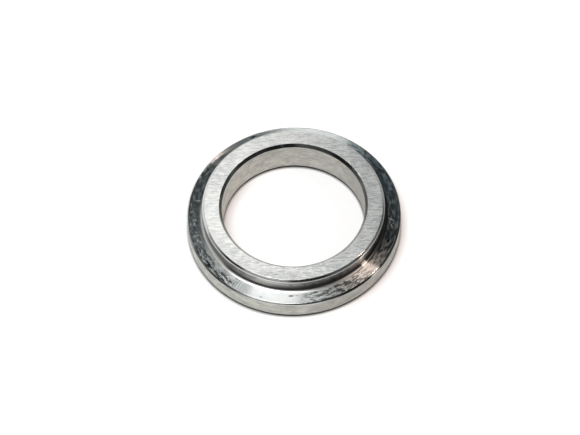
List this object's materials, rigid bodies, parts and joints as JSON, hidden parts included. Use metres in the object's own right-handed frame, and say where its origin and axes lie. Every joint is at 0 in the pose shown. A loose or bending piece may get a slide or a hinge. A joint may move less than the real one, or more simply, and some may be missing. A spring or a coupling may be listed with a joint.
{
  "type": "bearing sleeve",
  "caption": "Flanged steel bearing sleeve: a turned ring with a plain through bore, a raised spigot with a filleted foot and a wider flange.",
  "frame": {"origin": "centre of the bore at the flange's resting face", "axes": "+Z along the bore's axis, from the flange towards the spigot's end; +X and +Y are any two directions across it, as the ring is round"},
  "size_m": [0.03, 0.03, 0.0054],
  "materials": {
    "steel": "turned and linished, bare"
  },
  "bodies": {
    "root": {"sleeve": "steel"}
  },
  "joints": []
}
